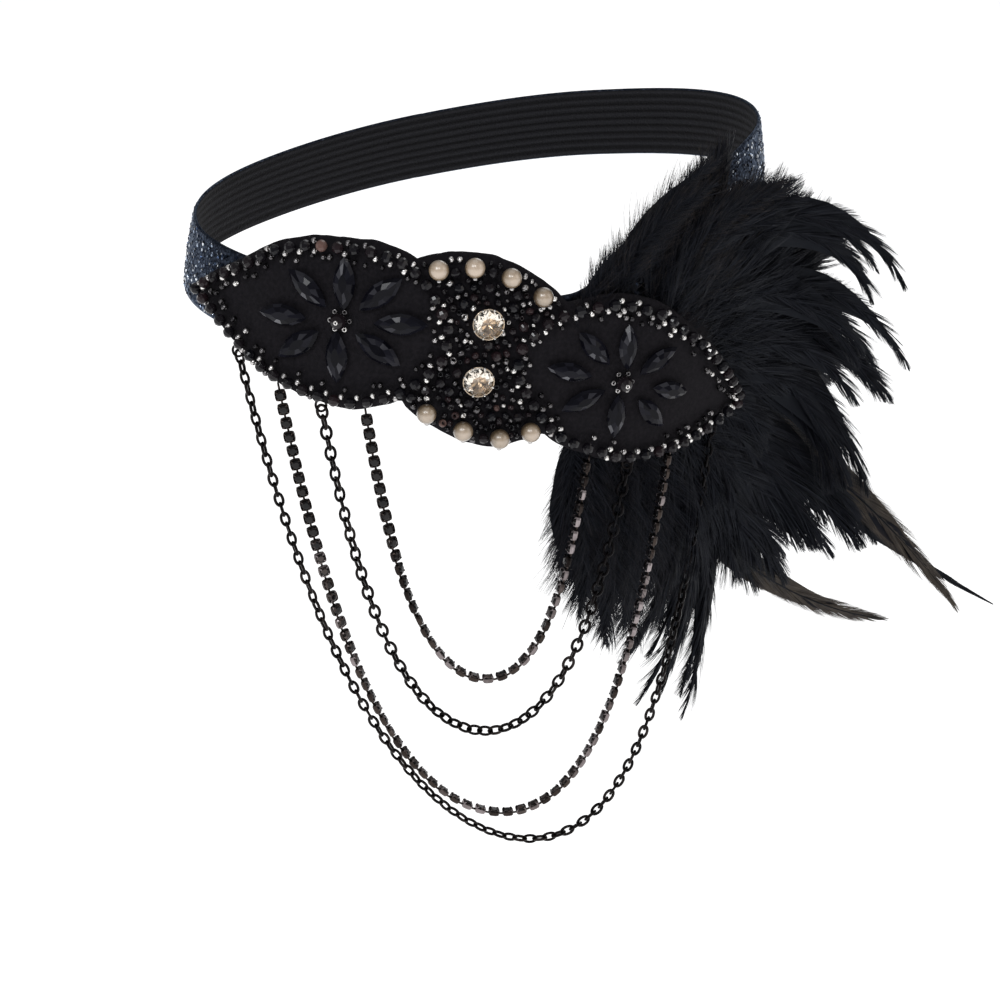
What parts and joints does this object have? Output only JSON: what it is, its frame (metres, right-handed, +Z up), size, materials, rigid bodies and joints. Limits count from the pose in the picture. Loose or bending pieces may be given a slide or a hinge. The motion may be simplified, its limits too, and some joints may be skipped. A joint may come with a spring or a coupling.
{
  "type": "feather headband",
  "caption": "Loop of glitter elastic with a beaded felt applique on the side of the head, swags of fine chain below it and a plume of dark feathers behind.",
  "frame": {"origin": "middle of the head hollow, at the height of the elastic loop", "axes": "+Z up, the wearer faces -Y, and the applique is on the wearer's left, +X"},
  "size_m": [0.1591, 0.2756, 0.2342],
  "materials": {
    "glitter_elastic": "dark blue-black elastic covered in fine sequins",
    "black_felt": "matt black felt",
    "jet_bead": "polished black beads",
    "jet_stone": "black cut stones",
    "pearl": "cream pearl",
    "crystal": "champagne cut glass in a silver cup",
    "gunmetal": "black plated chain",
    "feather": "black feathers, brownish where thin"
  },
  "bodies": {
    "root": {"elastic_band": "glitter_elastic", "applique_backing": "black_felt", "left_leaf_rim": "jet_bead", "right_leaf_rim": "jet_bead", "left_flower_centre": "jet_bead", "right_flower_centre": "jet_bead", "crystal_upper": "crystal", "crystal_lower": "crystal", "outer_cable_chain": "gunmetal", "outer_cup_chain": "gunmetal", "inner_cable_chain": "gunmetal", "inner_cup_chain": "gunmetal", "feather_plume": "feather", "left_petal_1": "jet_stone", "left_petal_2": "jet_stone", "left_petal_3": "jet_stone", "left_petal_4": "jet_stone", "left_petal_5": "jet_stone", "left_petal_6": "jet_stone", "left_petal_7": "jet_stone", "left_petal_8": "jet_stone", "right_petal_1": "jet_stone", "right_petal_2": "jet_stone", "right_petal_3": "jet_stone", "right_petal_4": "jet_stone", "right_petal_5": "jet_stone", "right_petal_6": "jet_stone", "right_petal_7": "jet_stone", "right_petal_8": "jet_stone", "pearl_upper_1": "pearl", "pearl_upper_2": "pearl", "pearl_upper_3": "pearl", "pearl_upper_4": "pearl", "pearl_lower_1": "pearl", "pearl_lower_2": "pearl", "pearl_lower_3": "pearl", "pearl_lower_4": "pearl"}
  },
  "joints": []
}
